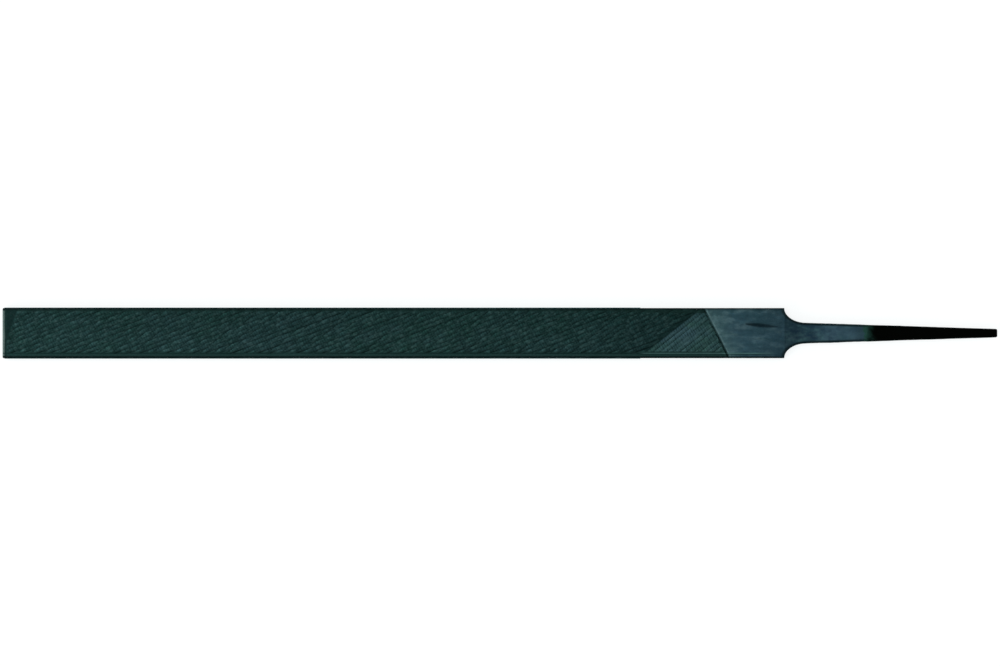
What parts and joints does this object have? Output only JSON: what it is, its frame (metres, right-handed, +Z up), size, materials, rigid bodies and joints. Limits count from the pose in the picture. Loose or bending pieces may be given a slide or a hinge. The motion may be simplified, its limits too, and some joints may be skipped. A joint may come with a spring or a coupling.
{
  "type": "flat file",
  "caption": "Flat hand file for metal: a straight parallel blade with cross-cut teeth, toothed narrow edges, a plain heel, hollow shoulders and a bare tapered tang for a handle.",
  "frame": {"origin": "under the middle of the file's overall length and width, on the plane of the lower face's parallel stretch", "axes": "+X along the file from tip to tang, +Y across the blade, +Z up through the thickness, out of the upper face"},
  "size_m": [0.3182, 0.0164, 0.005],
  "materials": {
    "file_steel": "dark hardened tool steel, dull and oiled, with a black heat-treated tang"
  },
  "bodies": {
    "root": {"file_body": "file_steel"}
  },
  "joints": []
}
